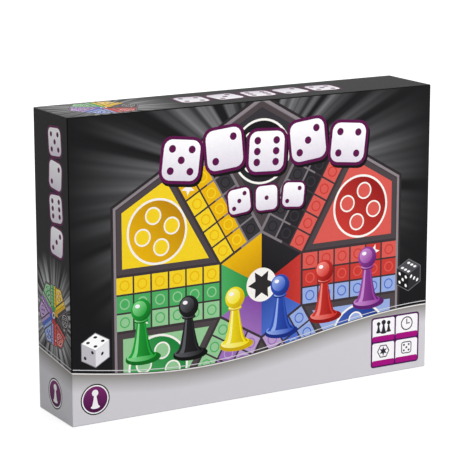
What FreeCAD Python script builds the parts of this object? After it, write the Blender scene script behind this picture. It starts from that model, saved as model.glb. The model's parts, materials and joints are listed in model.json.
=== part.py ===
import FreeCAD, Part
import math
import os

# Ludo board game in a two-part rigid box, standing on its long edge.
# +X runs along the long edge, +Z is up, and the lid's main panel faces -Y.
# The origin is on the floor, under the middle of the closed box. Sizes are in millimetres.

# Closed box, outside
box_width = 370.0
box_height = 270.0
box_depth = 68.0

# Stock that the box is made of
tray_board = 1.5
tray_edge_round = 0.6
wrap_paper = 0.25
turn_in = 14.0
stay_paper = 0.15
stay_leg = 10.0

# How the lid fits over the base
lid_clearance = 0.6
lid_seat_gap = 0.2
rim_setback = 1.0

# Folded card inserts inside the base
insert_card = 1.0
insert_clearance = 0.3
trough_height = 78.0
trough_lid_gap = 0.8
well_clearance = 0.3
shelf_gap = 1.0
well_columns = 13
well_rows = 2
well_end_margin = 21.0
well_row_pitch = 38.0

# Folding game board
board_core = 1.6
board_label = 0.2
board_fold_gap = 0.3
board_lid_gap = 1.2
board_edge_clearance = 0.5
board_side_clearance = 2.8
hinge_rise = 0.6
spine_cloth = 0.2
spine_lap = 10.0
spine_slack = 0.1

# Rules leaflet, one sheet folded once
leaflet_width = 150.0
leaflet_height = 105.0
leaflet_paper = 0.15
leaflet_fold_gap = 0.1

# Pawns, turned about their own axis
pawn_height = 27.0
pawn_base_diameter = 14.0
pawn_base_height = 3.0
pawn_base_round = 0.6
pawn_shoulder_diameter = 10.0
pawn_shoulder_rise = 0.8
pawn_collar_diameter = 7.4
pawn_collar_height = 1.2
pawn_neck_diameter = 5.0
pawn_throat_diameter = 4.5
pawn_waist_draw = 0.3
pawn_head_diameter = 9.6
pawn_lid_gap = 1.2
pawn_colours = ["purple", "green", "yellow", "black", "red", "blue"]
pawns_per_colour = 4

# Dice
die_size = 16.0
die_edge_round = 1.5
pip_diameter = 3.0
pip_depth = 0.6
pip_spacing = 4.2

# Levels along Y, from the lid's main panel to the base's main panel
lid_face_y = -box_depth / 2
base_face_y = box_depth / 2
lid_rim_y = base_face_y - rim_setback
lid_inside_y = lid_face_y + wrap_paper + tray_board
base_inside_y = base_face_y - wrap_paper - tray_board
base_rim_y = lid_inside_y + lid_seat_gap

# Outlines seen from the front: half width, lowest and highest Z
rim_build = tray_board + 2 * wrap_paper
base_inset = rim_build + lid_clearance
base_half_width = box_width / 2 - base_inset
base_low_z = base_inset
base_high_z = box_height - base_inset
inside_half_width = base_half_width - rim_build
inside_low_z = base_low_z + rim_build
inside_high_z = base_high_z - rim_build

# Insert levels
insert_half_width = inside_half_width - insert_clearance
trough_low_z = inside_low_z + insert_clearance
trough_wall = 2 * insert_card
trough_high_z = trough_low_z + trough_height + 2 * trough_wall
trough_rim_y = lid_inside_y + trough_lid_gap
shelf_y = lid_inside_y + pawn_lid_gap + pawn_height
well_panel_y = shelf_y - shelf_gap - insert_card
platform_low_z = trough_high_z + insert_clearance
platform_high_z = inside_high_z - insert_clearance

# Board levels, from the lid towards the base
board_half_width = inside_half_width - board_side_clearance
board_low_z = trough_high_z + board_edge_clearance
hinge_z = inside_high_z - board_edge_clearance - spine_cloth
board_high_z = hinge_z - hinge_rise
panel_build = board_core + 2 * board_label
front_panel_y = lid_inside_y + board_lid_gap
fold_y = front_panel_y + panel_build + board_fold_gap / 2
rear_panel_y = fold_y + board_fold_gap / 2
leaflet_build = 2 * leaflet_paper + leaflet_fold_gap
leaflet_y = rear_panel_y + panel_build + spine_cloth + spine_slack
platform_y = leaflet_y + leaflet_build

# Wells: columns share the trough's length, the middle column holds the dice
well_pitch = (2 * insert_half_width - 2 * well_end_margin) / (well_columns - 1)
trough_mid_z = (trough_low_z + trough_high_z) / 2
dice_column = well_columns // 2


def block(x0, x1, y0, y1, z0, z1):
    corner = FreeCAD.Vector(min(x0, x1), min(y0, y1), min(z0, z1))
    return Part.makeBox(abs(x1 - x0), abs(y1 - y0), abs(z1 - z0), corner)


def fuse(shapes):
    return shapes[0].fuse(shapes[1:]).removeSplitter()


def save(name, shape):
    shape.exportStep("parts/" + name + ".step")
    print(name, len(shape.Solids), "solid", round(shape.Volume, 2), "mm3", shape.isValid())


# A five-sided tray of folded board; its open side faces the rim, and its folded edges are rounded
def tray(half_width, low_z, high_z, face_y, rim_y):
    way = 1 if rim_y > face_y else -1
    skin = wrap_paper
    mouth_y = rim_y - way * skin
    outside = block(
        -half_width + skin, half_width - skin,
        face_y + way * skin, mouth_y,
        low_z + skin, high_z - skin,
    )
    folds = [edge for edge in outside.Edges if abs(edge.CenterOfMass.y - mouth_y) > tray_board]
    outside = outside.makeFillet(tray_edge_round, folds)
    wall = skin + tray_board
    hollow = block(
        -half_width + wall, half_width - wall,
        face_y + way * wall, rim_y + way * wall,
        low_z + wall, high_z - wall,
    )
    return outside.cut(hollow)


# The printed paper on one tray: a main sheet, and four flaps that turn in over the rim
def wrap_sheets(half_width, low_z, high_z, face_y, rim_y):
    way = 1 if rim_y > face_y else -1
    skin = wrap_paper
    face_back_y = face_y + way * skin
    lip_y = rim_y - way * skin
    turn_y = rim_y - way * turn_in
    wall = skin + tray_board
    sheets = {"main": block(-half_width, half_width, face_y, face_back_y, low_z, high_z)}
    for name, edge_z, inward in (("top", high_z, -1), ("bottom", low_z, 1)):
        skin_z = edge_z + inward * skin
        wall_z = edge_z + inward * wall
        end_z = wall_z + inward * skin
        sheets[name] = fuse([
            block(-half_width, half_width, face_back_y, rim_y, edge_z, skin_z),
            block(-half_width + skin, half_width - skin, lip_y, rim_y, skin_z, end_z),
            block(-half_width + wall, half_width - wall, turn_y, lip_y, wall_z, end_z),
        ])
    for name, edge_x, inward in (("left", -half_width, 1), ("right", half_width, -1)):
        skin_x = edge_x + inward * skin
        wall_x = edge_x + inward * wall
        end_x = wall_x + inward * skin
        turn_low_z = low_z + wall + skin
        turn_high_z = high_z - wall - skin
        sheets[name] = fuse([
            block(edge_x, skin_x, face_back_y, rim_y, low_z + skin, high_z - skin),
            block(skin_x, end_x, lip_y, rim_y, turn_low_z, turn_high_z),
            block(wall_x, end_x, turn_y, lip_y, turn_low_z, turn_high_z),
        ])
    return sheets


# Four paper angles glued into the inner corners of a tray
def corner_stays(half_width, low_z, high_z, face_y, rim_y):
    way = 1 if rim_y > face_y else -1
    wall = wrap_paper + tray_board
    start_y = face_y + way * wall
    end_y = rim_y - way * turn_in
    stays = []
    for side in (-1, 1):
        corner_x = side * (half_width - wall)
        for corner_z, inward in ((low_z + wall, 1), (high_z - wall, -1)):
            flat = block(corner_x, corner_x - side * stay_leg, start_y, end_y,
                         corner_z, corner_z + inward * stay_paper)
            upright = block(corner_x, corner_x - side * stay_paper, start_y, end_y,
                            corner_z, corner_z + inward * stay_leg)
            stays.append(fuse([flat, upright]))
    return Part.makeCompound(stays)


# A card folded into a channel: one panel facing the lid and two legs standing on the base
def channel(panel_y, low_z, high_z):
    half = insert_half_width
    panel_back_y = panel_y + insert_card
    return fuse([
        block(-half, half, panel_y, panel_back_y, low_z, high_z),
        block(-half, half, panel_back_y, base_inside_y, low_z, low_z + insert_card),
        block(-half, half, panel_back_y, base_inside_y, high_z - insert_card, high_z),
    ])


def well_centre(column, row):
    x = (column - (well_columns - 1) / 2) * well_pitch
    z = trough_mid_z + (row - (well_rows - 1) / 2) * well_row_pitch
    return x, z


# The punched trough card: double walls up to the lid, a panel of wells between them
def trough_card():
    half = insert_half_width
    panel_back_y = well_panel_y + insert_card
    low_in_z = trough_low_z + trough_wall
    high_in_z = trough_high_z - trough_wall
    card = fuse([
        block(-half, half, trough_rim_y, base_inside_y, trough_low_z, trough_low_z + insert_card),
        block(-half, half, trough_rim_y, panel_back_y, trough_low_z + insert_card, low_in_z),
        block(-half, half, well_panel_y, panel_back_y, low_in_z, high_in_z),
        block(-half, half, trough_rim_y, panel_back_y, high_in_z, trough_high_z - insert_card),
        block(-half, half, trough_rim_y, base_inside_y, trough_high_z - insert_card, trough_high_z),
    ])
    holes = []
    for column in range(well_columns):
        for row in range(well_rows):
            x, z = well_centre(column, row)
            if column == dice_column:
                reach = die_size / 2 + well_clearance
                holes.append(block(x - reach, x + reach, well_panel_y, panel_back_y, z - reach, z + reach))
            else:
                reach = pawn_base_diameter / 2 + well_clearance
                start = FreeCAD.Vector(x, well_panel_y, z)
                holes.append(Part.makeCylinder(reach, insert_card, start, FreeCAD.Vector(0, 1, 0)))
    return card.cut(holes)


# One pawn standing on the shelf, its head towards the lid
def pawn(x, z):
    base_r = pawn_base_diameter / 2
    shoulder_r = pawn_shoulder_diameter / 2
    collar_r = pawn_collar_diameter / 2
    neck_r = pawn_neck_diameter / 2
    head_r = pawn_head_diameter / 2
    head_z = pawn_height - head_r
    throat_r = pawn_throat_diameter / 2
    throat_z = head_z - math.sqrt(head_r ** 2 - throat_r ** 2)
    collar_top_z = throat_z
    collar_low_z = collar_top_z - pawn_collar_height
    shoulder_z = pawn_base_height + pawn_shoulder_rise
    bend_r = (shoulder_r + neck_r) / 2 - pawn_waist_draw
    bend_z = (shoulder_z + collar_low_z) / 2
    round_mid = pawn_base_round * (1 - math.sqrt(0.5))

    def at(radius, height):
        return FreeCAD.Vector(radius, 0, height)

    def line(a, b):
        return Part.LineSegment(a, b).toShape()

    def arc(a, b, c):
        return Part.Arc(a, b, c).toShape()

    base_top_in = at(base_r - pawn_base_round, pawn_base_height)
    base_top_out = at(base_r, pawn_base_height - pawn_base_round)
    base_top_mid = at(base_r - round_mid, pawn_base_height - round_mid)
    shoulder = at(shoulder_r, shoulder_z)
    neck = at(neck_r, collar_low_z)
    throat = at(throat_r, throat_z)
    collar_mid = at(collar_r, (collar_low_z + collar_top_z) / 2)
    profile = Part.Wire([
        line(at(0, 0), at(base_r, 0)),
        line(at(base_r, 0), base_top_out),
        arc(base_top_out, base_top_mid, base_top_in),
        line(base_top_in, shoulder),
        arc(shoulder, at(bend_r, bend_z), neck),
        arc(neck, collar_mid, throat),
        arc(throat, at(head_r, head_z), at(0, pawn_height)),
        line(at(0, pawn_height), at(0, 0)),
    ])
    turned = Part.Face(profile).revolve(FreeCAD.Vector(0, 0, 0), FreeCAD.Vector(0, 0, 1), 360)
    turned.rotate(FreeCAD.Vector(0, 0, 0), FreeCAD.Vector(1, 0, 0), 90)
    turned.translate(FreeCAD.Vector(x, shelf_y, z))
    return turned


# Where the pips of each number lie, in steps of the pip spacing
pip_layouts = {
    1: [(0, 0)],
    2: [(-1, -1), (1, 1)],
    3: [(-1, -1), (0, 0), (1, 1)],
    4: [(-1, -1), (-1, 1), (1, -1), (1, 1)],
    5: [(-1, -1), (-1, 1), (0, 0), (1, -1), (1, 1)],
    6: [(-1, -1), (-1, 0), (-1, 1), (1, -1), (1, 0), (1, 1)],
}


# One die with rounded edges and hollowed pips; opposite faces add up to seven
def die(x, z, front_number):
    half = die_size / 2
    cube = Part.makeBox(die_size, die_size, die_size, FreeCAD.Vector(-half, -half, -half))
    cube = cube.makeFillet(die_edge_round, cube.Edges)
    pip_r = pip_diameter / 2
    ball_r = (pip_r ** 2 + pip_depth ** 2) / (2 * pip_depth)
    side_number = front_number % 3 + 1
    top_number = side_number % 3 + 1
    facings = {
        front_number: FreeCAD.Vector(0, -1, 0),
        7 - front_number: FreeCAD.Vector(0, 1, 0),
        side_number: FreeCAD.Vector(1, 0, 0),
        7 - side_number: FreeCAD.Vector(-1, 0, 0),
        top_number: FreeCAD.Vector(0, 0, 1),
        7 - top_number: FreeCAD.Vector(0, 0, -1),
    }
    balls = []
    for number, facing in facings.items():
        across = FreeCAD.Vector(facing.y, facing.z, facing.x)
        along = facing.cross(across)
        for u, v in pip_layouts[number]:
            centre = facing * (half + ball_r - pip_depth)
            centre = centre + across * (u * pip_spacing) + along * (v * pip_spacing)
            balls.append(Part.makeSphere(ball_r, centre))
    cube = cube.cut(balls)
    cube.translate(FreeCAD.Vector(x, shelf_y - half, z))
    return cube


# One half of the board: a core panel with the playing side on one face and plain paper on the other
def board_half(outer_y, inner_y):
    way = 1 if inner_y > outer_y else -1
    half = board_half_width

    def layer(start_y, end_y):
        return block(-half, half, start_y, end_y, board_low_z, board_high_z)

    core_start_y = outer_y + way * board_label
    core_end_y = inner_y - way * board_label
    return layer(outer_y, core_start_y), layer(core_start_y, core_end_y), layer(core_end_y, inner_y)


# The cloth strip round the outside of the fold
def spine_strip():
    half = board_half_width
    front_y = front_panel_y
    rear_y = rear_panel_y + panel_build
    strip_z = board_high_z + spine_slack
    lap_z = board_high_z - spine_lap
    return fuse([
        block(-half, half, front_y - spine_cloth, rear_y + spine_cloth, strip_z, strip_z + spine_cloth),
        block(-half, half, front_y - spine_cloth, front_y, lap_z, strip_z),
        block(-half, half, rear_y, rear_y + spine_cloth, lap_z, strip_z),
    ])


# Two leaves joined along the upper edge, lying on the platform
def leaflet():
    half = leaflet_width / 2
    mid_z = (board_low_z + board_high_z) / 2
    low_z = mid_z - leaflet_height / 2
    high_z = mid_z + leaflet_height / 2
    front_leaf_y = leaflet_y + leaflet_paper
    rear_leaf_y = front_leaf_y + leaflet_fold_gap
    return fuse([
        block(-half, half, leaflet_y, front_leaf_y, low_z, high_z),
        block(-half, half, rear_leaf_y, platform_y, low_z, high_z),
        block(-half, half, front_leaf_y, rear_leaf_y, high_z - leaflet_paper, high_z),
    ])


os.makedirs("parts", exist_ok=True)

# Lid and base, each a tray, its printed paper and its corner stays
lid_outline = (box_width / 2, 0.0, box_height, lid_face_y, lid_rim_y)
base_outline = (base_half_width, base_low_z, base_high_z, base_face_y, base_rim_y)
for half_name, main_name, outline in (("lid", "front", lid_outline), ("base", "back", base_outline)):
    save(half_name + "_tray", tray(*outline))
    for sheet_name, sheet in wrap_sheets(*outline).items():
        place = main_name if sheet_name == "main" else sheet_name
        save(half_name + "_wrap_" + place, sheet)
    save(half_name + "_corner_stays", corner_stays(*outline))

# Folded card inserts
shelf_inset = insert_card + insert_clearance
save("trough_card", trough_card())
save("well_shelf", channel(shelf_y, trough_low_z + shelf_inset, trough_high_z - shelf_inset))
save("board_platform", channel(platform_y, platform_low_z, platform_high_z))

# Folding board and leaflet
board_layers = ("backing", "core", "print")
for half_name, outer_y, inner_y in (
    ("front", front_panel_y, front_panel_y + panel_build),
    ("rear", rear_panel_y + panel_build, rear_panel_y),
):
    for layer_name, layer_shape in zip(board_layers, board_half(outer_y, inner_y)):
        save("board_" + half_name + "_" + layer_name, layer_shape)
save("board_spine", spine_strip())
save("rules_leaflet", leaflet())

# Pawns, two columns of wells for each colour, on both sides of the dice
pawn_columns = [column for column in range(well_columns) if column != dice_column]
columns_per_colour = pawns_per_colour // well_rows
for index, colour in enumerate(pawn_colours):
    number = 1
    for step in range(columns_per_colour):
        column = pawn_columns[index * columns_per_colour + step]
        for row in range(well_rows):
            save("pawn_" + colour + "_" + str(number), pawn(*well_centre(column, row)))
            number += 1

# Dice, one in each row of the middle column
save("die_black", die(*well_centre(dice_column, 0), 1))
save("die_white", die(*well_centre(dice_column, 1), 2))

print("board", 2 * board_half_width, "wide,", 2 * (hinge_z - board_low_z), "tall when open")
print("hinge at y", fold_y, "z", hinge_z, "panel length", board_high_z - board_low_z)
print("well pitch", well_pitch, "shelf y", shelf_y, "trough z", trough_low_z, trough_high_z)
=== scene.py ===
import json
import math

import bmesh
import bpy
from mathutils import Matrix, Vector
from mathutils.geometry import delaunay_2d_cdt


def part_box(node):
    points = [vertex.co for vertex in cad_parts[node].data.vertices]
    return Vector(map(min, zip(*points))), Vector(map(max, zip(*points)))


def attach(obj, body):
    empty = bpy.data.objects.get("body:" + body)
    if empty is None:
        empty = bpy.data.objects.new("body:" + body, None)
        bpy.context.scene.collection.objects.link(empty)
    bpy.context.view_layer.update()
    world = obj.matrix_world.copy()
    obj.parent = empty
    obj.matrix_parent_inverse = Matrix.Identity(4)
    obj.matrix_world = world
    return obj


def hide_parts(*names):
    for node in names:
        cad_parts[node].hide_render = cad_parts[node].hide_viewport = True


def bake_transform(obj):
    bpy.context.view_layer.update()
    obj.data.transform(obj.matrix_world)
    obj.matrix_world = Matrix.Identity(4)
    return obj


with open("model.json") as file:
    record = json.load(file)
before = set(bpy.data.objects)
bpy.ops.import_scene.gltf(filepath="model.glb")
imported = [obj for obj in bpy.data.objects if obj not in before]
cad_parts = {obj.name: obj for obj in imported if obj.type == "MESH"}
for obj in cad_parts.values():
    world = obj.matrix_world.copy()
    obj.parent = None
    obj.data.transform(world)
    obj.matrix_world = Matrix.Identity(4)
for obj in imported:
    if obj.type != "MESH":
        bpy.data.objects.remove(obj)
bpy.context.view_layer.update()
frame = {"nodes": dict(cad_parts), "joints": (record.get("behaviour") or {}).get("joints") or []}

mm = 0.001  # pieces and art are drawn in millimetres, the scene is in metres


def hexInk(code):  # sRGB hex to linear colour
    parts = [int(code[i:i + 2], 16) / 255 for i in (1, 3, 5)]
    return [c / 12.92 if c <= 0.04045 else ((c + 0.055) / 1.055) ** 2.4 for c in parts] + [1.0]


def addNode(tree, kind, values=None, links=None, stops=None, **settings):
    node = tree.nodes.new(kind)
    for name, value in settings.items():
        setattr(node, name, value)
    for socket, value in (values or {}).items():
        node.inputs[socket].default_value = value
    for socket, source in (links or {}).items():
        tree.links.new(source, node.inputs[socket])
    for k, (place, colour) in enumerate(stops or []):  # a colour ramp's stops
        while len(node.color_ramp.elements) <= k:
            node.color_ramp.elements.new(1.0)
        node.color_ramp.elements[k].position = place
        node.color_ramp.elements[k].color = colour
    return node


def newMaterial(name, surface):
    material = bpy.data.materials.new(name)
    material.use_nodes = True
    tree = material.node_tree
    shader = tree.nodes["Principled BSDF"]
    for socket, value in surface.items():
        shader.inputs[socket].default_value = value
    place = addNode(tree, "ShaderNodeTexCoord").outputs["Object"]
    return material, tree, shader, place


def spanOf(*nodes):  # the box round some CAD nodes, in millimetres
    boxes = [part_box(node) for node in nodes]
    low = [min(box[0][k] for box in boxes) / mm for k in range(3)]
    high = [max(box[1][k] for box in boxes) / mm for k in range(3)]
    return low, high


# laminated art paper: offset ink under a thin satin film, so the colour is even
# and the gloss is soft, broken a little by the grain of the board beneath
laminate = {"roughness": (0.42, 0.54), "density": (0.95, 1.05), "grain": 2.5, "fibre": 0.7,
            "bump": 0.06, "bumpHigh": 0.1,
            "surface": {"IOR": 1.5, "Specular IOR Level": 0.05}}  # the film mirrors little of the room


def laminateFinish(tree, shader, place):
    grain = addNode(tree, "ShaderNodeTexNoise", {"Scale": 1 / (laminate["grain"] * mm), "Detail": 3.0},
                    {"Vector": place})
    smooth, dull = laminate["roughness"]
    rough = addNode(tree, "ShaderNodeMapRange", {"To Min": smooth, "To Max": dull},
                    {"Value": grain.outputs["Fac"]})
    fibre = addNode(tree, "ShaderNodeTexNoise", {"Scale": 1 / (laminate["fibre"] * mm), "Detail": 2.0},
                    {"Vector": place})
    bump = addNode(tree, "ShaderNodeBump",
                   {"Strength": laminate["bump"], "Distance": laminate["bumpHigh"] * mm},
                   {"Height": fibre.outputs["Fac"]})
    tree.links.new(rough.outputs["Result"], shader.inputs["Roughness"])
    tree.links.new(bump.outputs["Normal"], shader.inputs["Normal"])
    return grain.outputs["Fac"]


def printedInk(name):  # the drawn shapes keep their ink in the mesh, one colour per face corner
    material, tree, shader, place = newMaterial(name, laminate["surface"])
    grain = laminateFinish(tree, shader, place)
    ink = addNode(tree, "ShaderNodeAttribute", attribute_name="ink")
    thin, full = laminate["density"]
    density = addNode(tree, "ShaderNodeMapRange", {"To Min": thin, "To Max": full}, {"Value": grain})
    solid = addNode(tree, "ShaderNodeVectorMath", None,
                    {0: ink.outputs["Color"], 1: density.outputs["Result"]}, operation="MULTIPLY")
    tree.links.new(solid.outputs["Vector"], shader.inputs["Base Color"])
    return material


# the foot band of the cover: its upper edge is a slow wave along the front, from a trough to a crest,
# and climbs towards the back; a pale line runs along it, and a thin trim line above
coverBand = {"trough": (-64.0, 35.2), "crest": (180.0, 61.0), "climb": 0.123, "front": -34.0,
             "silver": "#CFCDD2", "shade": "#8A8783", "shadeDeep": 17.0, "halfShade": 0.45,
             "line": "#E6E4E2", "lineWide": 1.1, "lineStart": 0.01, "lineEnd": 0.015,
             "trim": "#D5D5D8", "trimLift": 3.4, "trimWide": 0.65,
             "overlap": 1.4, "below": -5.0}  # overlap is in widths of the pale line
coverInk = {"front": "#131315", "side": "#070708"}
coverRays = {  # soft beams round a centre on each face; more beams are thinner
    "front": {"axes": "XZ", "centre": (0, 196), "near": 50, "far": 200, "beams": 6.5, "ink": "#A0A0A3"},
    "side": {"axes": "YZ", "centre": (0, 92), "near": 22, "far": 58, "beams": 9.0, "ink": "#D6D6D8"},
    "top": {"axes": "XY", "centre": (-134, 0), "near": 20, "far": 74, "beams": 9.0, "ink": "#B4B4B6"},
    "back": {"axes": "XZ", "centre": (84, 166), "near": 60, "far": 260, "beams": 6.5, "ink": "#98989B"},
    "dark": 0.32, "bright": 0.8,
}
waveTurn = math.pi / (coverBand["crest"][0] - coverBand["trough"][0])
waveHalf = (coverBand["crest"][1] - coverBand["trough"][1]) / 2
waveMiddle = (coverBand["crest"][1] + coverBand["trough"][1]) / 2


def bandEdge(x, y=coverBand["front"]):
    wave = waveMiddle - waveHalf * math.cos(waveTurn * (x - coverBand["trough"][0]))
    return wave + coverBand["climb"] * (y - coverBand["front"])


def bandRamp(tree, axis):  # the band's colours by depth; alpha says where it covers the black
    turn = addNode(tree, "ShaderNodeMath", {1: waveTurn / mm, 2: -waveTurn * coverBand["trough"][0]},
                   {0: axis.outputs["X"]}, operation="MULTIPLY_ADD")
    swing = addNode(tree, "ShaderNodeMath", None, {0: turn.outputs[0]}, operation="COSINE")
    wave = addNode(tree, "ShaderNodeMath", {1: -waveHalf * mm, 2: waveMiddle * mm},
                   {0: swing.outputs[0]}, operation="MULTIPLY_ADD")
    edge = addNode(tree, "ShaderNodeMath", {1: coverBand["climb"]},
                   {0: axis.outputs["Y"], 2: wave.outputs[0]}, operation="MULTIPLY_ADD")
    above = addNode(tree, "ShaderNodeMath", None, {0: axis.outputs["Z"], 1: edge.outputs[0]},
                    operation="SUBTRACT")
    lift = coverBand["climb"] * coverBand["front"]  # the climb starts at the front
    deep, wide = coverBand["shadeDeep"], coverBand["lineWide"]
    share = addNode(tree, "ShaderNodeMapRange",
                    {"From Min": (-deep - lift) * mm, "From Max": (wide - lift) * mm},
                    {"Value": above.outputs[0]})
    lineAt = deep / (deep + wide)
    silver, shade, line = (hexInk(coverBand[key]) for key in ("silver", "shade", "line"))
    half = [a + coverBand["halfShade"] * (b - a) for a, b in zip(silver, shade)]
    stops = [(0.0, silver), (lineAt / 2, half), (lineAt - coverBand["lineStart"], shade), (lineAt, line),
             (1 - coverBand["lineEnd"], line), (1.0, line[:3] + [0.0])]
    return addNode(tree, "ShaderNodeValToRGB", None, {"Fac": share.outputs["Result"]}, stops)


def rayGlow(tree, axis, rays):  # beams that fade with the distance from their centre
    du, dv = (addNode(tree, "ShaderNodeMath", {1: middle * mm}, {0: axis.outputs[key]},
                      operation="SUBTRACT").outputs[0] for key, middle in zip(rays["axes"], rays["centre"]))
    spoke = addNode(tree, "ShaderNodeCombineXYZ", None, {"X": du, "Y": dv})
    heading = addNode(tree, "ShaderNodeVectorMath", None, {0: spoke.outputs[0]}, operation="NORMALIZE")
    reach = addNode(tree, "ShaderNodeVectorMath", None, {0: spoke.outputs[0]}, operation="LENGTH")
    beams = addNode(tree, "ShaderNodeTexNoise", {"Scale": rays["beams"], "Detail": 2.0},
                    {"Vector": heading.outputs["Vector"]}, noise_dimensions="2D")
    crisp = addNode(tree, "ShaderNodeMapRange",
                    {"From Min": coverRays["dark"], "From Max": coverRays["bright"]},
                    {"Value": beams.outputs["Fac"]}, interpolation_type="SMOOTHSTEP")
    fade = addNode(tree, "ShaderNodeMapRange",
                   {"From Min": rays["far"] * mm, "From Max": rays["near"] * mm},
                   {"Value": reach.outputs["Value"]}, interpolation_type="SMOOTHSTEP")
    glow = addNode(tree, "ShaderNodeMath", None,
                   {0: crisp.outputs["Result"], 1: fade.outputs["Result"]}, operation="MULTIPLY")
    return glow.outputs[0]


def coverGround(name, black, rays=None):  # black field with soft grey rays over a silver foot band
    material, tree, shader, place = newMaterial(name, laminate["surface"])
    laminateFinish(tree, shader, place)
    axis = addNode(tree, "ShaderNodeSeparateXYZ", None, {"Vector": place})
    band = bandRamp(tree, axis)
    cover = addNode(tree, "ShaderNodeMix", {6: hexInk(black)},
                    {0: band.outputs["Alpha"], 7: band.outputs["Color"]}, data_type="RGBA")
    if rays:
        field = addNode(tree, "ShaderNodeMix", {6: hexInk(black), 7: hexInk(rays["ink"])},
                        {0: rayGlow(tree, axis, rays)}, data_type="RGBA")
        tree.links.new(field.outputs[2], cover.inputs[6])
    tree.links.new(cover.outputs[2], shader.inputs["Base Color"])
    return material


printInk = printedInk("laminated print ink")
frontGround = coverGround("laminated print front", coverInk["front"], coverRays["front"])
sideGround = coverGround("laminated print sides", coverInk["side"], coverRays["side"])
topGround = coverGround("laminated print top", coverInk["side"], coverRays["top"])
backGround = coverGround("laminated print back", coverInk["front"], coverRays["back"])
edgeGround = coverGround("laminated print edges", coverInk["side"])
print("cover materials made")


# flat art: a list of (points, ink), later ones lie over earlier ones; ink is one hex value,
# two hex values shaded from one point to another, or None for the cover's own ground
tones = {  # the six players' colours on the board: pale, middle and deep
    "purple": ("#B79BCB", "#9A6DB5", "#6F2C91"), "green": ("#93C694", "#4BAA60", "#157A35"),
    "yellow": ("#F2D024", "#E9B40C", "#B98206"), "black": ("#343236", "#242226", "#0D0D0F"),
    "red": ("#D75A52", "#C73A33", "#8E1616"), "blue": ("#96ABDD", "#4A6CC6", "#1B3587"),
}


def oval(centre, wide, tall=None, count=24):
    tall = wide if tall is None else tall
    angles = [2 * math.pi * k / count for k in range(count)]
    return [(centre[0] + wide * math.cos(a), centre[1] + tall * math.sin(a)) for a in angles]


def starShape(centre, outer, inner, points, turn=90):
    shape = []
    for k in range(2 * points):
        reach, angle = (inner if k % 2 else outer), math.radians(turn + 180 * k / points)
        shape.append((centre[0] + reach * math.cos(angle), centre[1] + reach * math.sin(angle)))
    return shape


def roundTile(centre, wide, tall, corner, steps=4):
    shape = []
    for k, (su, sv) in enumerate([(1, -1), (1, 1), (-1, 1), (-1, -1)]):
        cu, cv = centre[0] + su * (wide / 2 - corner), centre[1] + sv * (tall / 2 - corner)
        for j in range(steps + 1):
            angle = math.radians(-90 + 90 * k + 90 * j / steps)
            shape.append((cu + corner * math.cos(angle), cv + corner * math.sin(angle)))
    return shape


def placed(art, at=(0, 0), turn=0.0, size=1.0):  # art scaled, turned and moved
    c, s = size * math.cos(math.radians(turn)), size * math.sin(math.radians(turn))

    def move(p):
        return (at[0] + c * p[0] - s * p[1], at[1] + s * p[0] + c * p[1])

    def moveInk(ink):  # the two points of a shaded ink go along
        return ink[:2] + (move(ink[2]), move(ink[3])) if isinstance(ink, tuple) else ink
    return [([move(p) for p in points], moveInk(ink)) for points, ink in art]


boardLook = {  # a six-armed race board; lengths are in spaces of the path
    "players": ["yellow", "green", "purple", "blue", "red", "black"],
    "rim": 9.15, "field": 8.9, "rows": 6, "gap": 0.1, "armHalf": 1.5, "ring": (0.3, 0.23),
    "start": (0.42, 0.18), "homeAt": 7.4, "homeBand": 0.3, "home": (1.8, 1.674), "spotAt": 0.9,
    "spot": (0.486, 0.396), "goal": 0.95, "goalStar": (0.85, 0.45),
    "sides": 48, "fewSides": 16, "ringSides": 18,
    "rimInk": "#2B2729", "edgeInk": "#8B8287", "lineInk": "#3A3236", "bandInk": "#4A4245",
    "starInk": "#F4F1EC", "darkLine": "#7D777B",
}


def polar(angle, out, side=0.0):  # out along an arm and off to its left
    c, s = math.cos(math.radians(angle)), math.sin(math.radians(angle))
    return (out * c - side * s, out * s + side * c)


def homeSpots(reach, player):  # the middle of a player's home and its four spots
    space, home = reach / boardLook["rim"], 60 + 60 * boardLook["players"].index(player)
    middle = polar(home, boardLook["homeAt"] * space)
    spots = [polar(home + 45 + 90 * j, boardLook["spotAt"] * space) for j in range(4)]
    return [middle] + [(middle[0] + u, middle[1] + v) for u, v in spots]


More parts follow.
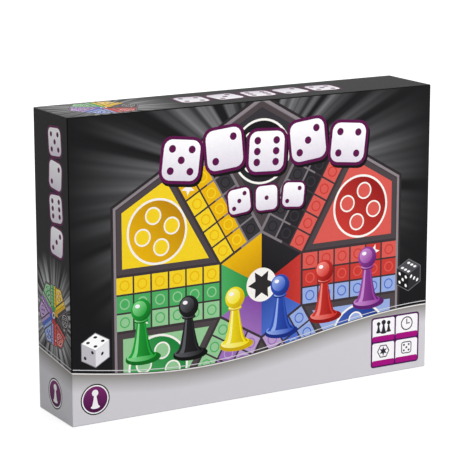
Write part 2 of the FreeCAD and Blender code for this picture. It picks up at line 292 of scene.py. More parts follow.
def raceBoard(reach, fine=True):
    look, at = boardLook, polar
    space = reach / look["rim"]
    gap, field, armHalf = (look[key] * space for key in ("gap", "field", "armHalf"))
    slant = math.cos(math.pi / 6)
    inner = 2 * armHalf * slant  # where the arms leave the goal
    length = (field - inner) / look["rows"]
    count = look["sides"] if fine else look["fewSides"]

    def homeField(home, inset):  # the four-cornered field between two arms
        side, out = armHalf + gap + inset, field - gap - inset
        return [at(home, 2 * side), at(home - 30, out, side), at(home, out / slant),
                at(home + 30, out, -side)]
    art = [([at(60 * k, reach / slant) for k in range(6)], look["rimInk"]),
           ([at(60 * k, (field + gap) / slant) for k in range(6)], look["edgeInk"])]
    for k, player in enumerate(look["players"]):  # each sixth shows as lines between its spaces
        arm, home, rim = 30 + 60 * k, 60 + 60 * k, field - gap / 2
        art.append(([(0, 0), at(arm, rim), at(home, rim / slant), at(arm + 60, rim)],
                    look["darkLine" if player == "black" else "lineInk"]))
    for k, player in enumerate(look["players"]):
        pale, middle, deep = tones[player]
        before = tones[look["players"][k - 1]]
        arm, home = 30 + 60 * k, 60 + 60 * k
        # the home field in its dark band, with a ring and four spots
        art.append((homeField(home, 0.0), look["bandInk"]))
        art.append((homeField(home, look["homeBand"] * space), pale))
        (centre, *spots), (wide, disc) = homeSpots(reach, player), look["home"]
        lit, dim = ((centre[0] + u, centre[1] + v)
                    for u, v in (at(135, wide * space), at(-45, wide * space)))
        art.append((oval(centre, wide * space, count=count), look["starInk"]))
        art.append((oval(centre, disc * space, count=count), (middle, deep, lit, dim)))
        for spot in spots:
            for size, ink in zip(look["spot"], (look["starInk"], pale)):
                art.append((oval(spot, size * space, count=count // 2), ink))
        # three columns of spaces along the arm: the lane home between a column of each neighbour
        for column, (cell, ring) in zip((-1, 0, 1), (before[:2], (middle, pale), (pale, middle))):
            for row in range(look["rows"]):
                near, across = inner + row * length + gap / 2, column * space
                far, half = near + length - gap, (space - gap) / 2
                spot = at(arm, (near + far) / 2, across)
                start = column == 1 and row == look["rows"] - 2
                corners = [(near, -half), (far, -half), (far, half), (near, half)]
                art.append(([at(arm, out, across + side) for out, side in corners],
                            middle if start else cell))
                if start:
                    outer, dent = look["start"]
                    art.append((starShape(spot, outer * space, dent * space, 5, arm), look["starInk"]))
                elif fine:
                    for size, ink in zip(look["ring"], (ring, cell)):
                        art.append((oval(spot, size * space, count=look["ringSides"]), ink))
        # the player's part of the goal in the middle
        corner = 2 * armHalf - gap
        art.append(([(0, 0), at(arm - 30, corner), at(arm + 30, corner)],
                    (deep, middle, (0, 0), at(arm, inner))))
    outer, dent = look["goalStar"]
    art.append((oval((0, 0), look["goal"] * space, count=count), look["starInk"]))
    art.append((starShape((0, 0), outer * space, dent * space, 6), look["rimInk"]))
    return art


pawnLook = {  # a turned pawn in a frame one unit tall; an oval has a middle, two half widths and sides
    "shadow": (0.03, -0.02, 0.3, 0.1, 28), "foot": (0, 0, 0.27, 0.095, 28),
    "footTop": (0, 0.02, 0.25, 0.08, 28),
    "collar": (0, 0.57, 0.12, 0.042, 20), "collarTop": (0, 0.583, 0.115, 0.034, 20),
    "head": (0, 0.735, 0.172, 0.172, 30), "headLight": (-0.025, 0.76, 0.12, 0.12, 24),
    "glint": (-0.06, 0.8, 0.042, 0.03, 14), "glintInk": "#F7F4F6",
    "markFoot": (0, 0.015, 0.25, 0.09, 20), "markHead": (0, 0.735, 0.175, 0.175, 20),
    "bodyWide": (0.235, 0.068), "bodyRise": (0.015, 0.575), "bend": 0.5, "steps": 8,
    "lightStrip": (-0.72, -0.38), "farStrip": (0.66, 0.84),
    "purple": ("#C48CCB", "#94429B", "#5C1E68"), "green": ("#86D68F", "#22A03A", "#0B661E"),
    "yellow": ("#FBF39A", "#F1DF1C", "#C9A50A"), "black": ("#5A5A5F", "#242427", "#09090A"),
    "red": ("#EA857C", "#D0352D", "#8A1413"), "blue": ("#93ABE8", "#3054B8", "#182C7C"),
}


def pawnOval(part):
    u, v, wide, tall, count = pawnLook[part]
    return oval((u, v), wide, tall, count)


def pawnStrip(left, right):  # a strip of the bell-shaped body between two shares of its half width
    (foot, neck), (low, high) = pawnLook["bodyWide"], pawnLook["bodyRise"]
    shares = [k / pawnLook["steps"] for k in range(pawnLook["steps"] + 1)]
    sides = [(foot + (neck - foot) * share ** pawnLook["bend"], low + (high - low) * share)
             for share in shares]
    return [(right * w, v) for w, v in sides] + [(left * w, v) for w, v in reversed(sides)]


def pawnArt(height, player):
    pale, middle, deep = pawnLook[player]
    return placed([
        (pawnOval("shadow"), deep),
        (pawnOval("foot"), deep),
        (pawnOval("footTop"), (pale, middle, (-0.25, 0), (0.2, 0))),
        (pawnStrip(-1, 1), (middle, deep, (-0.16, 0), (0.2, 0))),
        (pawnStrip(*pawnLook["lightStrip"]), pale),
        (pawnStrip(*pawnLook["farStrip"]), middle),
        (pawnOval("collar"), deep),
        (pawnOval("collarTop"), (pale, middle, (-0.1, 0), (0.1, 0))),
        (pawnOval("head"), (middle, deep, (-0.1, 0.83), (0.12, 0.61))),
        (pawnOval("headLight"), (pale, middle, (-0.1, 0.84), (0.06, 0.68))),
        (pawnOval("glint"), pawnLook["glintInk"]),
    ], size=height)


def pawnMark(height, ink):  # a plain pawn in one ink
    shapes = [pawnOval("markFoot"), pawnStrip(-1, 1), pawnOval("markHead")]
    return placed([(shape, ink) for shape in shapes], size=height)


pipPlaces = {1: [(0, 0)], 2: [(-1, -1), (1, 1)], 3: [(-1, -1), (0, 0), (1, 1)],
             4: [(-1, -1), (-1, 1), (1, -1), (1, 1)], 5: [(-1, -1), (-1, 1), (0, 0), (1, -1), (1, 1)],
             6: [(-1, -1), (-1, 0), (-1, 1), (1, -1), (1, 0), (1, 1)]}
tileLook = {"face": "#FDFCFE", "low": "#DDD6E2", "edge": "#5A0F47", "drop": "#0C0B0D",
            "dropTo": (0.05, -0.07), "outer": (1.16, 0.28), "inner": (1.0, 0.22), "shade": (0.4, -0.5),
            "pipAt": 0.27, "pip": 0.095, "pipSides": 18}


def tileArt(size, pips):  # one face of a die, edged in magenta
    look = tileLook
    (out, outCorner), (wide, corner), (lit, dim) = look["outer"], look["inner"], look["shade"]
    art = [(roundTile(look["dropTo"], out, out, outCorner), look["drop"]),
           (roundTile((0, 0), out, out, outCorner), look["edge"]),
           (roundTile((0, 0), wide, wide, corner), (look["face"], look["low"], (0, lit), (0, dim)))]
    for a, b in pipPlaces[pips]:
        middle = (look["pipAt"] * a, look["pipAt"] * b)
        art.append((oval(middle, look["pip"], count=look["pipSides"]), look["edge"]))
    return placed(art, size=size)


def tileRow(row):  # faces of dice side by side
    (u, v), middle, art = row["at"], (len(row["pips"]) - 1) / 2, []
    for k, (pips, turn, lift) in enumerate(zip(row["pips"], row["turns"], row["lifts"])):
        art += placed(tileArt(row["size"], pips), (u + (k - middle) * row["pitch"], v + lift), turn)
    return art


dieLook = {"white": ("#FFFFFF", "#E4E2E6", "#BDBAC1", "#1A1A1C", "#8B888F"),
           "black": ("#4A4A4E", "#2B2B2E", "#141416", "#F2F0F2", "#6E6E73"),
           "rim": 1.05, "pipAt": 0.27, "pip": 0.1, "pipSides": 14}


def onFace(a, b, p, q):  # a point of a slanted face, in shares of its two edges
    return (p * a[0] + q * b[0], p * a[1] + q * b[1])


def dieArt(size, colour, counts):  # a die standing on a face, seen on its near corner
    c, s, rim = size * math.cos(math.pi / 6), size / 2, dieLook["rim"]
    top, right, left, pip, edge = dieLook[colour]
    outline = [(0, size), (-c, s), (-c, -s), (0, -size), (c, -s), (c, s)]
    art = [([(rim * u, rim * v) for u, v in outline], edge)]
    faces = [((c, s), (-c, s)), ((0, -size), (c, s)), ((-c, s), (0, -size))]
    for (a, b), ink, count in zip(faces, (top, right, left), counts):
        art.append(([onFace(a, b, p, q) for p, q in ((0, 0), (1, 0), (1, 1), (0, 1))], ink))
        for p, q in pipPlaces[count]:
            middle = (0.5 + dieLook["pipAt"] * p, 0.5 + dieLook["pipAt"] * q)
            dot = oval(middle, dieLook["pip"], count=dieLook["pipSides"])
            art.append(([onFace(a, b, x, y) for x, y in dot], pip))
    return art


burstLook = {"points": 22, "stars": [("#4C4C50", 1.0, 0.72, 90), ("#77777C", 0.93, 0.7, 94)]}


def burstArt(reach):  # a grey starburst behind the tiles in the corners of the board
    return [(starShape((0, 0), outer * reach, inner * reach, burstLook["points"], turn), ink)
            for ink, outer, inner, turn in burstLook["stars"]]


roundelLook = {"rings": [(1.0, "#141416"), (0.92, "#F2F0F2")], "field": (0.84, "#7A2A6A", "#3C0E3A"),
               "sides": 40, "pawn": (1.25, -0.51, "#F2F0F2")}


def roundelArt(reach):  # a plain round mark with one pawn
    share, top, foot = roundelLook["field"]
    discs = roundelLook["rings"] + [(share, (top, foot, (0, reach), (0, -reach)))]
    art = [(oval((0, 0), part * reach, count=roundelLook["sides"]), ink) for part, ink in discs]
    tall, drop, ink = roundelLook["pawn"]
    return art + placed(pawnMark(tall * reach, ink), (0, drop * reach))


panelLook = {  # the pictures are drawn in millimetres for a panel 49 tall, then enlarged
    "frame": "#4B1253", "cell": "#F6F4F7", "bar": "#A3107C", "mark": "#2A2530", "drawnTall": 49,
    "enlarged": 1.25, "gap": 1.6, "barTall": 5.2, "frameCorner": 3.0, "cellCorner": 2.0, "barCorner": 1.4,
    "crowd": [(-4.6, -3.8, 9), (4.6, -3.8, 9), (0, -4.5, 11)],
    "clock": (5.4, 4.5), "hands": [(-0.4, -0.5, 0.4, 3.6), (-0.5, -0.4, 2.8, 0.4)],
    "hive": (5.6, 4.7), "hiveStar": (3.9, 1.7), "cube": [(9.4, 2.0), (7.9, 1.4)], "cubePips": (2.2, 0.85),
}


def panelPictures():
    look, mark = panelLook, panelLook["mark"]
    inks, crowd = (mark, look["cell"]), []
    for u, v, height in look["crowd"]:
        crowd += placed(pawnMark(height, mark), (u, v))
    clock = [(oval((0, 0), reach, count=24), ink) for reach, ink in zip(look["clock"], inks)]
    clock += [([(a, b), (c, b), (c, d), (a, d)], mark) for a, b, c, d in look["hands"]]
    hive = [(oval((0, 0), reach, count=6), ink) for reach, ink in zip(look["hive"], inks)]
    hive.append((starShape((0, 0), *look["hiveStar"], 6), mark))
    cube = [(roundTile((0, 0), wide, wide, corner), ink) for (wide, corner), ink in zip(look["cube"], inks)]
    pitch, reach = look["cubePips"]
    cube += [(oval((pitch * a, pitch * b), reach, count=12), mark) for a, b in pipPlaces[5]]
    return crowd, clock, hive, cube


def factsPanel(wide, tall):  # four small pictures with bare bars under them
    look, s = panelLook, tall / panelLook["drawnTall"]
    gap, bar = look["gap"] * s, look["barTall"] * s
    cellWide, cellTall = (wide - 3 * gap) / 2, (tall - 3 * gap) / 2
    art = [(roundTile((0, 0), wide, tall, look["frameCorner"] * s), look["frame"])]
    for k, picture in enumerate(panelPictures()):
        u, v = (k % 2 - 0.5) * (cellWide + gap), (0.5 - k // 2) * (cellTall + gap)
        foot = (u, v - (cellTall - bar) / 2)
        art.append((roundTile((u, v), cellWide, cellTall, look["cellCorner"] * s), look["cell"]))
        art.append((roundTile(foot, cellWide, bar, look["barCorner"] * s), look["bar"]))
        art += placed(picture, (u, v + bar / 2), size=look["enlarged"] * s)
    return art


def footBand(curve):  # the cover's ground below the band's edge, and a thin trim line above it
    lift, wide, below = coverBand["trimLift"], coverBand["trimWide"], coverBand["below"]
    over = coverBand["overlap"] * coverBand["lineWide"]
    ground = [(curve[0][0], below), (curve[-1][0], below)] + [(u, v + over) for u, v in reversed(curve)]
    trim = [(u, v + lift) for u, v in curve] + [(u, v + lift + wide) for u, v in reversed(curve)]
    return [(ground, None), (trim, coverBand["trim"])]


# steps along the band's edge, past both ends of the face
longSteps, shortSteps = range(-190, 191, 10), range(-40, 41, 20)

# the printed front: a board, a row of pawns along the band, a die at each end and two rows of tiles
frontLook = {
    "board": (4, 103, 150, 90), "roundel": (-163, 22, 14), "facts": (150, 31, 54, 48.6),
    "pawns": ("green", "black", "yellow", "blue", "red", "purple"), "pawnTall": 58, "pawnPitch": 47,
    "pawnLift": 15, "dice": [(-162, 66, 15, "white", (4, 1, 2)), (164, 92, 15, "black", (6, 3, 5))],
    "tiles": {"at": (9, 226), "size": 36, "pitch": 43, "pips": (5, 2, 6, 3, 4), "turns": (-7, 5, -3, 6, -6),
              "lifts": (-2, 4, -2, 4, -2)},
    "smallTiles": {"at": (9, 182), "size": 22, "pitch": 28, "pips": (3, 1, 2), "turns": (6, 0, -6),
                   "lifts": (0, 0, 0)},
}


def frontArt():
    look = frontLook
    u, v, reach, turn = look["board"]
    art = placed(raceBoard(reach), (u, v), turn)
    for u, v, size, colour, counts in look["dice"]:
        art += placed(dieArt(size, colour, counts), (u, v))
    for k, player in enumerate(look["pawns"]):
        x = (k - (len(look["pawns"]) - 1) / 2) * look["pawnPitch"]
        art += placed(pawnArt(look["pawnTall"], player), (x, bandEdge(x) + look["pawnLift"]))
    art += footBand([(x, bandEdge(x)) for x in longSteps])  # it lies over the foot of the picture
    art += tileRow(look["tiles"]) + tileRow(look["smallTiles"])
    art += placed(roundelArt(look["roundel"][2]), look["roundel"][:2])
    return art + placed(factsPanel(*look["facts"][2:]), look["facts"][:2])


sideLook = {"board": (0, 36, 27.5), "tile": 24, "pitch": 29, "first": 246, "off": 9, "pips": (5, 2, 6, 3),
            "turns": (5, -5, 5, -5), "roundel": (0, 21.5, 14)}


def sideArt(way, half, deep):  # the tiles run down beside the front edge; way is 1 on the left side
    look = sideLook
    u, over, reach = look["board"]  # the small board stands over the band's higher end
    art = placed(raceBoard(reach, False), (u, bandEdge(-way * half, deep) + over))
    art += footBand([(u, bandEdge(-way * half, -way * u)) for u in shortSteps])
    for k, (pips, turn) in enumerate(zip(look["pips"], look["turns"])):
        spot = (way * look["off"], look["first"] - k * look["pitch"])
        art += placed(tileArt(look["tile"], pips), spot, turn)
    return art + placed(roundelArt(look["roundel"][2]), look["roundel"][:2])


topLook = {"board": (-134, 0, 29.5),
           "tiles": {"at": (20, 0), "size": 27, "pitch": 34, "pips": (4, 3, 6, 2, 5),
                     "turns": (175, 185, 175, 185, 175), "lifts": (0, 0, 0, 0, 0)}}


def topArt():
    u, v, reach = topLook["board"]
    return placed(raceBoard(reach, False), (u, v)) + tileRow(topLook["tiles"])


backLook = {"board": (-84, 166, 82), "card": (92, 150, 150, 130), "cardInk": "#DCDADF", "cardEdge": 1.5,
            "cardCorners": (8.0, 6.6), "roundel": (160, 23, 14), "facts": (-146, 34, 52, 47),
            "pawns": ("yellow", "purple", "black", "green", "red", "blue"), "pawnTall": 44, "pawnPitch": 23,
            "pawnDrop": 50, "dice": [(62, 178, 15, "white", (5, 1, 3)), (124, 178, 15, "black", (2, 4, 6))]}


def backArt(deep):  # the outside of the base: the board, and a pale card with what is in the box
    look = backLook
    u, v, reach = look["board"]
    art = placed(raceBoard(reach), (u, v)) + footBand([(u, bandEdge(-u, deep)) for u in longSteps])
    u, v, wide, tall = look["card"]
    (outer, inner), edge = look["cardCorners"], 2 * look["cardEdge"]
    art.append((roundTile((u, v), wide, tall, outer), panelLook["bar"]))
    art.append((roundTile((u, v), wide - edge, tall - edge, inner), look["cardInk"]))
    for k, player in enumerate(look["pawns"]):
        spot = (u + (k - (len(look["pawns"]) - 1) / 2) * look["pawnPitch"], v - look["pawnDrop"])
        art += placed(pawnArt(look["pawnTall"], player), spot)
    for du, dv, size, colour, counts in look["dice"]:
        art += placed(dieArt(size, colour, counts), (du, dv))
    art += placed(roundelArt(look["roundel"][2]), look["roundel"][:2])
    return art + placed(factsPanel(*look["facts"][2:]), look["facts"][:2])


def inkAt(ink, point):
    if isinstance(ink, str):
        return hexInk(ink)
    (a, b), start, end = (hexInk(ink[0]), hexInk(ink[1])), Vector(ink[2]), Vector(ink[3])
    share = (Vector(point) - start).dot(end - start) / (end - start).length_squared
    share = min(max(share, 0.0), 1.0)
    return [(1 - share) * x + share * y for x, y in zip(a, b)]


# each printed face: from a point of the box to the art's plane, and back at a given depth
panelMaps = {
    "front": (lambda p: (p[0], p[2]), lambda u, v, d: (u, d, v)),
    "back": (lambda p: (-p[0], p[2]), lambda u, v, d: (-u, d, v)),
    "right": (lambda p: (p[1], p[2]), lambda u, v, d: (d, u, v)),
    "left": (lambda p: (-p[1], p[2]), lambda u, v, d: (d, -u, v)),
    "top": (lambda p: (p[0], p[1]), lambda u, v, d: (u, v, d)),
    "bottom": (lambda p: (p[0], -p[1]), lambda u, v, d: (u, -v, d)),
}
cutGap = 1e-5  # points of the art this close, in millimetres, are one
weldGap = 1e-6  # and in metres, where the faces of a piece meet


def turnLeft(points):  # a polygon turned counter-clockwise
    area = sum(a[0] * b[1] - b[0] * a[1] for a, b in zip(points, points[1:] + points[:1]))
    return points if area > 0 else points[::-1]


def trimmed(points, low, high):  # the part of a polygon inside a box
    for axis in (0, 1):
        for bound, way in ((low[axis], 1), (high[axis], -1)):
            kept = []
            for a, b in zip(points, points[1:] + points[:1]):
                insideA, insideB = way * (a[axis] - bound) >= 0, way * (b[axis] - bound) >= 0
                if insideA:
                    kept.append(a)
                if insideA != insideB:
                    t = (bound - a[axis]) / (b[axis] - a[axis])
                    kept.append((a[0] + t * (b[0] - a[0]), a[1] + t * (b[1] - a[1])))
            points = kept
    return points


# a flat face, cut along every shape printed on it
def fillPanel(bm, outline, toSpace, art, ground, border=None):
    inkLayer = bm.loops.layers.float_color["ink"]
    if border:  # the art stops just inside the folds
        low = [min(p[k] for p in outline) + border for k in (0, 1)]
        high = [max(p[k] for p in outline) - border for k in (0, 1)]
        art = [(trimmed(shape, low, high), ink) for shape, ink in art]
        art = [(shape, ink) for shape, ink in art if len(shape) > 2]
    points, polygons = [], []
    for shape in [outline] + [shape for shape, ink in art]:
        polygons.append(list(range(len(points), len(points) + len(shape))))
        points += [Vector(p) for p in turnLeft(shape)]
    flat, _, cells, _, _, owners = delaunay_2d_cdt(points, [], polygons, 1, cutGap, True)
    verts = [bm.verts.new(Vector(toSpace(p.x, p.y)) * mm) for p in flat]
    for cell, shapes in zip(cells, owners):
        if 0 not in shapes:  # outside the face
            continue
        face = bm.faces.new([verts[i] for i in cell])
        ink = art[max(shapes) - 1][1] if max(shapes) else None
        face.material_index = ground if ink is None else 0
        for loop, i in zip(face.loops, cell):
            loop[inkLayer] = hexInk(coverInk["side"]) if ink is None else inkAt(ink, flat[i])
    for vert in verts:
        if not vert.link_faces:
            bm.verts.remove(vert)


def newPiece(name, bm, materials):
    bmesh.ops.remove_doubles(bm, verts=bm.verts, dist=weldGap)
    bmesh.ops.recalc_face_normals(bm, faces=bm.faces)
    openEdges = sum(1 for edge in bm.edges if not edge.is_manifold)
    mesh = bpy.data.meshes.new(name)
    bm.to_mesh(mesh)
    bm.free()
    for material in materials:
        mesh.materials.append(material)
    piece = bpy.data.objects.new(name, mesh)
    bpy.context.scene.collection.objects.link(piece)
    print(name, "faces", len(mesh.polygons), "open edges", openEdges)
    return piece


coverMaterials = [printInk, frontGround, sideGround, topGround, backGround, edgeGround]
frontSlot, sideSlot, topSlot, backSlot, edgeSlot = range(1, 6)
# paper glued round a greyboard tray: rounded folds, and an edge turned in over the rim
wrapLook = {"paper": 0.24, "fold": 0.85, "tight": 0.12, "wall": 2.0, "rimRound": 0.4, "turnIn": 14.0,
            "arcs": 4, "border": 0.2}


def roundedLoop(low, high, inset, y):  # counter-clockwise seen from the front
    corner = max(wrapLook["fold"] - inset, wrapLook["tight"])
    loop = []
    corners = [(high[0], low[2]), (high[0], high[2]), (low[0], high[2]), (low[0], low[2])]
    for k, (x, z) in enumerate(corners):
        cx = x - math.copysign(inset + corner, x)
        cz = z + (inset + corner) * (1 if z == low[2] else -1)
        for j in range(wrapLook["arcs"] + 1):
            angle = math.radians(90 * (k - 1) + 90 * j / wrapLook["arcs"])
            loop.append((cx + corner * math.cos(angle), y, cz + corner * math.sin(angle)))
    return loop


def paperCover(name, low, high, way, panels, materials):
    look = wrapLook
    face, rim = (low[1], high[1]) if way > 0 else (high[1], low[1])
    fold, paper, wall, rimRound, arcs = (look[key] for key in ("fold", "paper", "wall", "rimRound", "arcs"))
    bends = [math.pi / 2 * k / arcs for k in range(arcs + 1)]
    deep = abs(rim - face)
    turned = deep - look["turnIn"]
    # inset from the box and depth behind the face, from the face round the rim to the glued side
    profile = [(fold * (1 - math.sin(a)), fold * (1 - math.cos(a))) for a in bends]
    wallRow = len(profile) - 1  # the flat sides start after this loop
    profile += [(rimRound * (1 - math.cos(a)), deep - rimRound * (1 - math.sin(a))) for a in bends]
    profile += [(wall - rimRound * (1 - math.sin(a)), deep - rimRound * (1 - math.cos(a))) for a in bends]
    profile += [(wall, turned), (wall - paper, turned), (wall - paper, deep - paper), (paper, deep - paper),
                (paper, fold), (fold / 2, fold / 2), (fold, paper)]
    bm = bmesh.new()
    bm.loops.layers.float_color.new("ink")
    loops = [roundedLoop(low, high, inset, face + way * depth) for inset, depth in profile]
    rows = [[bm.verts.new(Vector(p) * mm) for p in loop] for loop in loops]
    count, step = len(rows[0]), arcs + 1
    flats = {"right": (0, high[0]), "top": (1, high[2]), "left": (2, low[0]), "bottom": (3, low[2])}
    skipped = {k * step + arcs for k, _ in flats.values()}
    for r in range(len(rows) - 1):
        for k in range(count):
            if r == wallRow and k in skipped:
                continue
            n = (k + 1) % count
            made = bm.faces.new([rows[r][k], rows[r][n], rows[r + 1][n], rows[r + 1][k]])
            made.material_index, made.smooth = edgeSlot, True
    bm.faces.new(rows[-1]).material_index = edgeSlot
    # the printed flats: four sides and the face
    for side, (k, depth) in flats.items():
        toPanel, toSpace = panelMaps[side]
        a, b = k * step + arcs, ((k + 1) * step) % count
        corners = [loops[wallRow][a], loops[wallRow][b], loops[wallRow + 1][b], loops[wallRow + 1][a]]
        art, slot = panels[side]
        fillPanel(bm, [toPanel(p) for p in corners], lambda u, v, d=depth, f=toSpace: f(u, v, d), art, slot,
                  look["border"])
    side = "front" if way > 0 else "back"
    toPanel, toSpace = panelMaps[side]
    art, slot = panels[side]
    fillPanel(bm, [toPanel(p) for p in loops[0]], lambda u, v: toSpace(u, v, face), art, slot,
              look["border"])
    return newPiece(name, bm, materials)


lidNodes = ["lid_wrap_" + side for side in ("front", "top", "bottom", "left", "right")]
lidLow, lidHigh = spanOf(*lidNodes)
lidPanels = {"front": (frontArt(), frontSlot), "top": (topArt(), topSlot), "bottom": ([], edgeSlot),
             "left": (sideArt(1, lidHigh[0], lidHigh[1]), sideSlot),
             "right": (sideArt(-1, lidHigh[0], lidHigh[1]), sideSlot)}
lidCover = paperCover("lidCover", lidLow, lidHigh, 1, lidPanels, coverMaterials)
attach(lidCover, "lid")
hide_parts(*lidNodes)

baseNodes = ["base_wrap_" + side for side in ("back", "top", "bottom", "left", "right")]
baseLow, baseHigh = spanOf(*baseNodes)
basePanels = {side: ([], edgeSlot) for side in ("left", "right", "top", "bottom")}
basePanels["back"] = (backArt(baseHigh[1]), backSlot)
baseCover = paperCover("baseCover", baseLow, baseHigh, -1, basePanels, coverMaterials)
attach(baseCover, "base")
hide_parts(*baseNodes)
print("paper covers done")


# paper stocks: felted fibres, so they are matt, softly mottled and flecked
paperStocks = {
    # greyboard: pressed waste paper, mouse-grey with dark flecks
    "greyboard": {"pale": "#ABA79E", "dark": "#8A867E", "fleck": "#625E58", "fibre": 1.4, "fleckWide": 2.4,
                  "fleckShare": 0.16, "roughness": 0.93, "bump": 0.35},
    # white-lined chipboard: a smooth clay-coated face, clean and softly satin
    "white-lined chipboard": {"pale": "#EDEBE6", "dark": "#E0DDD6", "fleck": "#D3CFC6", "fibre": 2.2,
                              "fleckWide": 5.0, "fleckShare": 0.06, "roughness": 0.62, "bump": 0.08},
    # kraft paper: unbleached pulp, brown with long dark fibres
    "kraft paper": {"pale": "#BC9463", "dark": "#A07A4C", "fleck": "#7A5934", "fibre": 1.0,
                    "fleckWide": 2.0, "fleckShare": 0.12, "roughness": 0.88, "bump": 0.25},
    # offset paper: bleached and uncoated, near white and quite matt
    "offset paper": {"pale": "#F3F1EC", "dark": "#E6E3DB", "fleck": "#DAD6CC", "fibre": 1.2,
                     "fleckWide": 3.0, "fleckShare": 0.08, "roughness": 0.85, "bump": 0.15},
}
feltLook = {"lay": (0.45, 1.0, 1.0), "specular": 0.25, "mottle": (0.3, 0.7), "fleckSizes": (-1.0, 1.8),
            "bumpHigh": 0.15}


def paperStock(name):
    look = paperStocks[name]
    material, tree, shader, place = newMaterial(name, {"Roughness": look["roughness"],
                                                       "Specular IOR Level": feltLook["specular"]})
    sheet = addNode(tree, "ShaderNodeMapping", {"Scale": feltLook["lay"]}, {"Vector": place})
    lay = sheet.outputs["Vector"]  # fibres lie along the sheet
    fibre = addNode(tree, "ShaderNodeTexNoise",
                    {"Scale": 1 / (look["fibre"] * mm), "Detail": 5.0, "Roughness": 0.65}, {"Vector": lay})
    low, high = feltLook["mottle"]
    mottle = addNode(tree, "ShaderNodeValToRGB", None, {"Fac": fibre.outputs["Fac"]},
                     [(low, hexInk(look["dark"])), (high, hexInk(look["pale"]))])
    cells = addNode(tree, "ShaderNodeTexVoronoi", {"Scale": 1 / (look["fleckWide"] * mm)}, {"Vector": lay})
    # each fleck has its own size, and many places have none
    least, most = (size * look["fleckShare"] for size in feltLook["fleckSizes"])
    reach = addNode(tree, "ShaderNodeMapRange", {"To Min": least, "To Max": most},
                    {"Value": cells.outputs["Color"]})
    fleck = addNode(tree, "ShaderNodeMath", None,
                    {0: reach.outputs["Result"], 1: cells.outputs["Distance"]}, operation="GREATER_THAN")
    colour = addNode(tree, "ShaderNodeMix", {7: hexInk(look["fleck"])},
                     {0: fleck.outputs[0], 6: mottle.outputs["Color"]}, data_type="RGBA")
    bump = addNode(tree, "ShaderNodeBump",
                   {"Strength": look["bump"], "Distance": feltLook["bumpHigh"] * mm},
                   {"Height": fibre.outputs["Fac"]})
    tree.links.new(colour.outputs[2], shader.inputs["Base Color"])
    tree.links.new(bump.outputs["Normal"], shader.inputs["Normal"])
    return material


# woven and embossed coverings: crossed threads that catch the light in a fine grid;
# the real threads are 0.4 to 0.5 mm apart, drawn coarser so that they show
clothStocks = {
    "linen-embossed lining paper": {"thread": 1.1, "high": "#2A2A2D", "low": "#151517", "roughness": 0.6,
                                    "bump": 0.5},
    "book cloth": {"thread": 0.9, "high": "#26262A", "low": "#0D0D0F", "roughness": 0.85, "bump": 0.8},
}
threadLook = {"specular": 0.3, "wander": 12.0, "wobble": 0.6, "wobbleScale": 0.5, "tones": (0.05, 0.6),
              "bumpHigh": 0.12, "waveLength": 2 * math.pi / 20}  # of a wave texture at scale 1


def clothStock(name):
    look = clothStocks[name]
    material, tree, shader, place = newMaterial(name, {"Roughness": look["roughness"],
                                                       "Specular IOR Level": threadLook["specular"]})
    wander = addNode(tree, "ShaderNodeTexNoise", {"Scale": 1 / (threadLook["wander"] * mm), "Detail": 1.0},
                     {"Vector": place})
    threads = {"Scale": threadLook["waveLength"] / (look["thread"] * mm),
               "Distortion": threadLook["wobble"], "Detail Scale": threadLook["wobbleScale"]}
    warp, weft = (addNode(tree, "ShaderNodeTexWave", threads, {"Vector": place}, bands_direction=way)
                  for way in "XZ")
    grid = addNode(tree, "ShaderNodeMath", None, {0: warp.outputs["Fac"], 1: weft.outputs["Fac"]},
                   operation="MAXIMUM")
    uneven = addNode(tree, "ShaderNodeMath", None, {0: grid.outputs[0], 1: wander.outputs["Fac"]},
                     operation="MULTIPLY")
    low, high = threadLook["tones"]
    colour = addNode(tree, "ShaderNodeValToRGB", None, {"Fac": uneven.outputs[0]},
                     [(low, hexInk(look["low"])), (high, hexInk(look["high"]))])
    bump = addNode(tree, "ShaderNodeBump",
                   {"Strength": look["bump"], "Distance": threadLook["bumpHigh"] * mm},
                   {"Height": grid.outputs[0]})
    tree.links.new(colour.outputs["Color"], shader.inputs["Base Color"])
    tree.links.new(bump.outputs["Normal"], shader.inputs["Normal"])
    return material


# injection-moulded polystyrene: clear resin tinted with dye, so it is glossy, a little see-through,
# and streaked where the melt flowed
plasticLook = {"surface": {"IOR": 1.59, "Transmission Weight": 0.3}, "roughness": (0.1, 0.2),
               "flow": 7.0, "flowBend": 1.2, "streaks": (0.35, 0.65), "scuff": 1.5,
               "purple": ("#9A46A2", "#7A2C84"), "green": ("#2AA744", "#178032"),
               "yellow": ("#F4E21E", "#E2BE0C"), "black": ("#2A2A2E", "#151517"),
               "red": ("#D53A31", "#AA1F19"), "blue": ("#3A60C6", "#24449F")}


def mouldedPlastic(player):
    look = plasticLook
    material, tree, shader, place = newMaterial(player + " polystyrene", look["surface"])
    flow = addNode(tree, "ShaderNodeTexNoise",
                   {"Scale": 1 / (look["flow"] * mm), "Detail": 2.0, "Distortion": look["flowBend"]},
                   {"Vector": place})
    (pale, deep), (low, high), (smooth, dull) = look[player], look["streaks"], look["roughness"]
    tint = addNode(tree, "ShaderNodeValToRGB", None, {"Fac": flow.outputs["Fac"]},
                   [(low, hexInk(deep)), (high, hexInk(pale))])
    scuff = addNode(tree, "ShaderNodeTexNoise", {"Scale": 1 / (look["scuff"] * mm), "Detail": 4.0},
                    {"Vector": place})
    rough = addNode(tree, "ShaderNodeMapRange", {"To Min": smooth, "To Max": dull},
                    {"Value": scuff.outputs["Fac"]})
    tree.links.new(tint.outputs["Color"], shader.inputs["Base Color"])
    tree.links.new(rough.outputs["Result"], shader.inputs["Roughness"])
    return material


